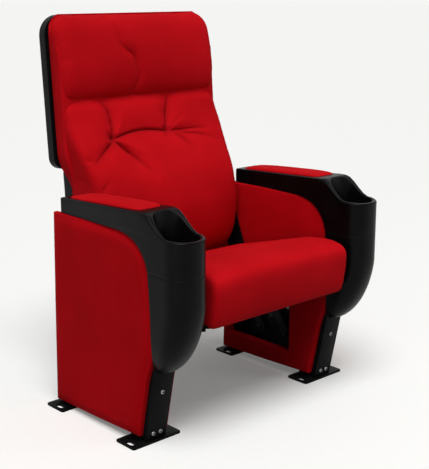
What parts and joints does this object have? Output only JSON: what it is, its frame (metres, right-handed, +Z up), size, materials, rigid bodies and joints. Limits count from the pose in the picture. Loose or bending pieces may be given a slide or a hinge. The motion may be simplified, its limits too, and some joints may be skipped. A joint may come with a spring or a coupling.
{
  "type": "push-back auditorium chair",
  "caption": "Upholstered auditorium armchair with cup-holder arms on floor-fixed standards; the seat swings forward on links while the back reclines.",
  "frame": {"origin": "on the floor, under the middle of the chair's length and width", "axes": "+Z up, the chair faces -Y, +X to the left hand of a person sitting in it"},
  "size_m": [0.7596, 0.6656, 1.0147],
  "materials": {
    "upholstery_fabric": "matt red woven upholstery",
    "panel_fabric": "red woven cloth on padded boards",
    "arm_plastic": "black moulded plastic, satin",
    "shell_plastic": "black moulded plastic, textured",
    "black_steel": "black powder coat",
    "bright_steel": "zinc plated",
    "buffer_rubber": "matt black",
    "seat_board": "plywood stained black",
    "back_board": "moulded plywood"
  },
  "bodies": {
    "standards": {"front_foot_left": "black_steel", "front_foot_right": "black_steel", "rear_foot_left": "black_steel", "rear_foot_right": "black_steel", "front_post_left": "black_steel", "front_post_right": "black_steel", "rear_post_left": "black_steel", "rear_post_right": "black_steel", "top_rail_left": "black_steel", "top_rail_right": "black_steel", "mechanism_plate_left": "black_steel", "mechanism_plate_right": "black_steel", "outer_panel_left": "panel_fabric", "outer_panel_right": "panel_fabric", "inner_front_pad_left": "panel_fabric", "inner_front_pad_right": "panel_fabric", "inner_upper_pad_left": "panel_fabric", "inner_upper_pad_right": "panel_fabric", "inner_lower_pad_left": "panel_fabric", "inner_lower_pad_right": "panel_fabric", "arm_moulding_left": "arm_plastic", "arm_moulding_right": "arm_plastic", "nose_cover_left": "arm_plastic", "nose_cover_right": "arm_plastic", "arm_pad_left": "upholstery_fabric", "arm_pad_right": "upholstery_fabric", "rest_buffer_left": "buffer_rubber", "rest_buffer_right": "buffer_rubber", "limit_buffer_left": "buffer_rubber", "limit_buffer_right": "buffer_rubber", "back_pivot_pin_left": "bright_steel", "back_pivot_pin_right": "bright_steel", "upper_post_screw_left": "bright_steel", "upper_post_screw_right": "bright_steel", "lower_left_post_screw_left": "bright_steel", "lower_left_post_screw_right": "bright_steel", "lower_right_post_screw_left": "bright_steel", "lower_right_post_screw_right": "bright_steel", "return_spring_left": "bright_steel", "return_spring_right": "bright_steel"},
    "front_swing": {"front_link_left": "black_steel", "front_link_right": "black_steel", "front_cross_shaft": "bright_steel"},
    "rear_swing": {"rear_link_left": "black_steel", "rear_link_right": "black_steel", "rear_cross_shaft": "bright_steel"},
    "seat": {"seat_rail_left": "black_steel", "seat_rail_right": "black_steel", "hinge_shaft": "bright_steel", "seat_under_cover": "shell_plastic", "seat_board": "seat_board", "seat_cushion": "upholstery_fabric"},
    "back": {"back_arm_left": "black_steel", "back_arm_right": "black_steel", "back_base_tube": "black_steel", "back_board": "back_board", "back_cushion": "upholstery_fabric", "head_cushion": "upholstery_fabric", "back_shell": "shell_plastic", "lower_back_cover": "shell_plastic"}
  },
  "joints": [
    {"name": "push_back", "type": "hinge", "parent": "standards", "child": "rear_swing", "pos_m": [0, 0.05172, 0.097], "axis": [1, 0, 0], "range_deg": [0, 24], "stiffness_Nm_per_rad": 20, "springref_deg": -22.92},
    {"name": "seat_level", "type": "hinge", "parent": "rear_swing", "child": "seat", "pos_m": [0, 0.13202, 0.21168], "axis": [-1, 0, 0], "range_deg": [0, 24]},
    {"name": "front_swing", "type": "hinge", "parent": "standards", "child": "front_swing", "pos_m": [0, -0.05328, 0.097], "axis": [1, 0, 0], "range_deg": [0, 24], "deforming": ["return_spring_left", "return_spring_right"]},
    {"name": "back_recline", "type": "hinge", "parent": "seat", "child": "back", "pos_m": [0, 0.06422, 0.2488], "axis": [-1, 0, 0], "range_deg": [0, 15]}
  ],
  "couplings": [
    {"joint": "seat_level", "follows": "push_back", "ratio": 1},
    {"joint": "front_swing", "follows": "push_back", "ratio": 1},
    {"joint": "back_recline", "follows": "push_back", "ratio": 0.625}
  ]
}
